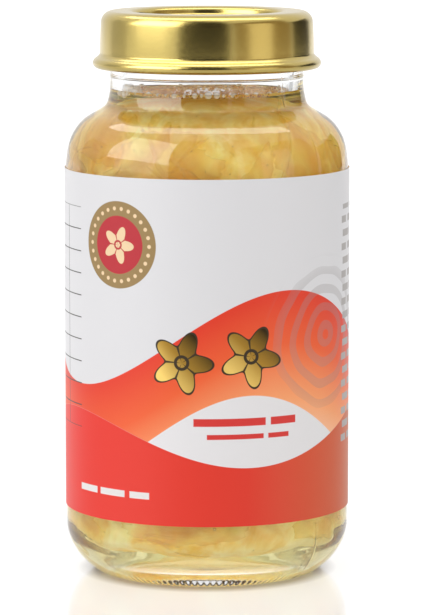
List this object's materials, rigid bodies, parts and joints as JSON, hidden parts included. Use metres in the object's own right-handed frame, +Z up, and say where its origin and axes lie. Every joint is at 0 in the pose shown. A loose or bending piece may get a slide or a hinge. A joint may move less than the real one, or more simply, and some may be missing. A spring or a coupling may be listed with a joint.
{
  "type": "jar of edible bird's nest",
  "caption": "Clear glass jar of stewed edible bird's nest in amber syrup, with a gold twist-off lid and a wrap-around printed paper label.",
  "frame": {"origin": "centre of the ring that the jar stands on, on the surface below it", "axes": "+Z up along the jar's axis, the front of the label faces -Y, the label's overlap is at +Y"},
  "size_m": [0.052, 0.0522, 0.1028],
  "materials": {
    "jar_glass": "clear moulded soda-lime glass, glossy",
    "gold_lacquer": "gold-lacquered tinplate, satin",
    "liner": "off-white plastisol, matt",
    "label_paper": "coated printed paper, satin",
    "syrup": "clear amber sugar syrup",
    "nest": "translucent stewed nest, wet"
  },
  "bodies": {
    "jar": {"glass_jar": "jar_glass", "label": "label_paper", "syrup": "syrup", "nest_mass": "nest", "nest_flake_low_1": "nest", "nest_flake_low_2": "nest", "nest_flake_low_3": "nest", "nest_flake_low_4": "nest", "nest_flake_low_5": "nest", "nest_flake_middle_1": "nest", "nest_flake_middle_2": "nest", "nest_flake_middle_3": "nest", "nest_flake_middle_4": "nest", "nest_flake_high_1": "nest", "nest_flake_high_2": "nest", "nest_flake_high_3": "nest", "nest_flake_high_4": "nest", "nest_flake_high_5": "nest"},
    "liner": {"lid_liner": "liner"},
    "lid": {"lid": "gold_lacquer"}
  },
  "joints": [
    {"name": "lid_rise", "type": "slide", "parent": "jar", "child": "liner", "axis": [0, 0, 1], "range_m": [0, 0.00165]},
    {"name": "lid_turn", "type": "hinge", "parent": "liner", "child": "lid", "pos_m": [0, 0, 0.0976], "axis": [0, 0, 1], "range_deg": [0, 64]}
  ],
  "couplings": [
    {"joint": "lid_rise", "follows": "lid_turn", "m_per_rad": 0.0014324}
  ]
}
